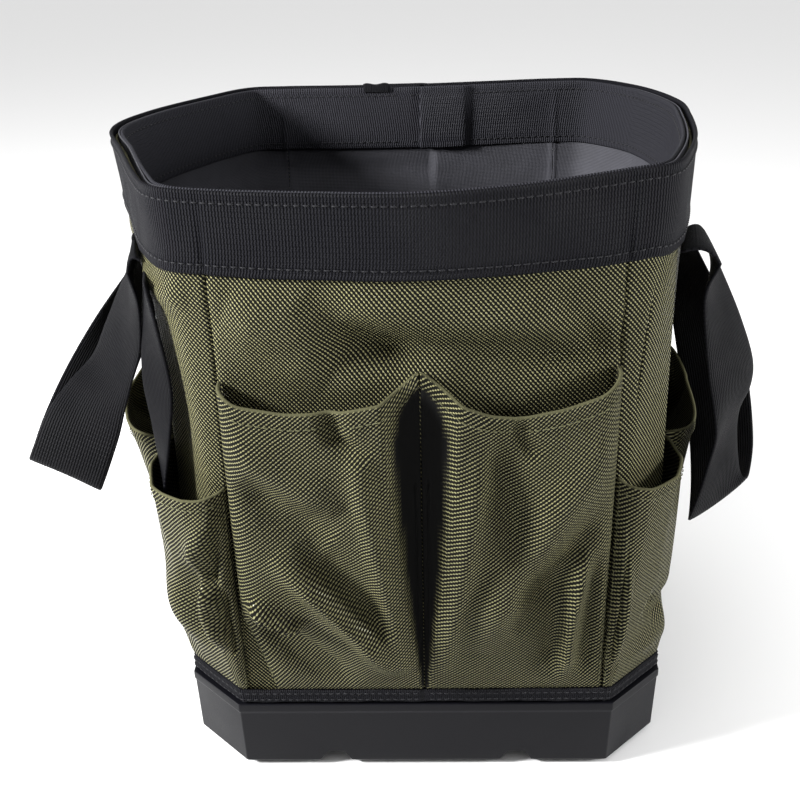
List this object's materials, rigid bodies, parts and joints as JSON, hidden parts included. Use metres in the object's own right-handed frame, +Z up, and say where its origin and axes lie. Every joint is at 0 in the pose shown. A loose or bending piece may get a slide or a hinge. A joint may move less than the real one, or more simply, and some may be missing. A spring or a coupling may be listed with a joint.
{
  "type": "tool bucket organizer",
  "caption": "Open square cloth tool bag on a moulded tray, with pockets all round, a webbing rim and a webbing handle on each side.",
  "frame": {"origin": "middle of the tray's underside, on the surface that the bag stands on", "axes": "+Z up; the front, with the two large pockets, looks along -Y; the handles hang on the -X and +X sides"},
  "size_m": [0.3898, 0.295, 0.3181],
  "materials": {
    "tray_plastic": "satin moulded, charcoal",
    "board_plastic": "matte sheet",
    "olive_cloth": "coarse ballistic weave, olive",
    "lining_cloth": "plain weave, black",
    "black_webbing": "ribbed polypropylene webbing, black"
  },
  "bodies": {
    "bag": {"base_tray": "tray_plastic", "base_board": "board_plastic", "front_panel": "olive_cloth", "right_panel": "olive_cloth", "back_panel": "olive_cloth", "left_panel": "olive_cloth", "front_pocket_right": "olive_cloth", "front_pocket_left": "olive_cloth", "back_pocket_right": "olive_cloth", "back_pocket_left": "olive_cloth", "right_front_corner_pocket": "olive_cloth", "right_middle_pocket": "olive_cloth", "right_rear_corner_pocket": "olive_cloth", "left_rear_corner_pocket": "olive_cloth", "left_middle_pocket": "olive_cloth", "left_front_corner_pocket": "olive_cloth", "front_lining": "lining_cloth", "right_lining": "lining_cloth", "back_lining": "lining_cloth", "left_lining": "lining_cloth", "bottom_lining": "lining_cloth", "inner_pocket": "lining_cloth", "base_binding": "black_webbing", "rim_band_outer": "black_webbing", "rim_band_inner": "black_webbing", "left_handle_front_anchor": "black_webbing", "left_handle_rear_anchor": "black_webbing", "right_handle_front_anchor": "black_webbing", "right_handle_rear_anchor": "black_webbing", "tool_strap": "black_webbing"},
    "left_handle_loop": {"left_handle": "black_webbing"},
    "right_handle_loop": {"right_handle": "black_webbing"}
  },
  "joints": [
    {"name": "left_handle_swing", "type": "hinge", "parent": "bag", "child": "left_handle_loop", "pos_m": [-0.135, -0.081, 0.267], "axis": [-0.0922, 0.9957, 0], "range_deg": [0, 125]},
    {"name": "right_handle_swing", "type": "hinge", "parent": "bag", "child": "right_handle_loop", "pos_m": [0.137, -0.081, 0.267], "axis": [-0.0555, -0.9985, 0], "range_deg": [0, 125]}
  ]
}
